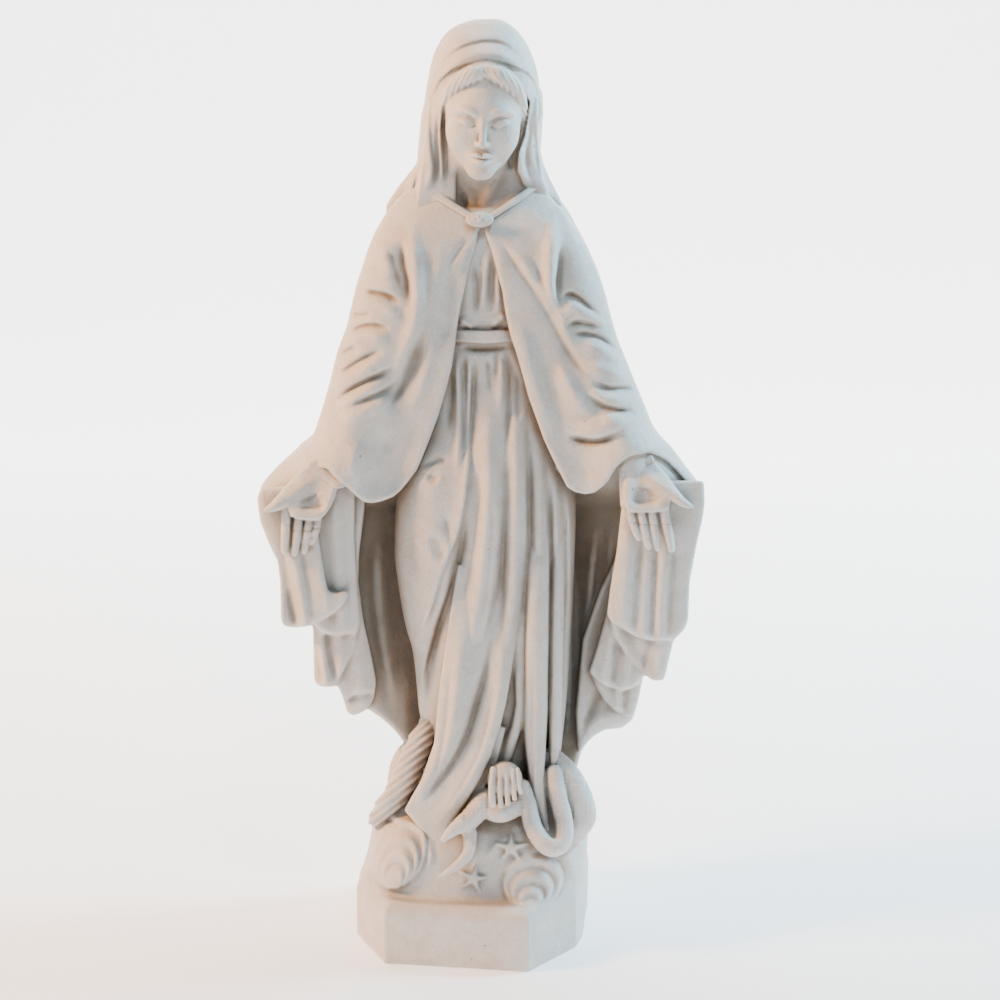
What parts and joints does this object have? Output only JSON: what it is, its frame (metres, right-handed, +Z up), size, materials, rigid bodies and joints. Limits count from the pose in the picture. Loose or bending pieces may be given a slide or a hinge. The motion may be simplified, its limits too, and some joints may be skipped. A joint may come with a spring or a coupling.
{
  "type": "virgin mary garden statue",
  "caption": "Standing veiled figure with lowered open hands, in a gown and wide cloak, on a globe of cloud with a serpent, over a plinth with cut corners.",
  "frame": {"origin": "centre of the plinth's underside", "axes": "+Z up, the figure looks along -Y, and +X is to the right of a viewer who faces it"},
  "size_m": [0.2918, 0.1758, 0.612],
  "materials": {
    "cast_stone": "pale off-white painted concrete, fine grain with small pinholes, brown-grey wash in the recesses"
  },
  "bodies": {
    "root": {"statue": "cast_stone"}
  },
  "joints": []
}
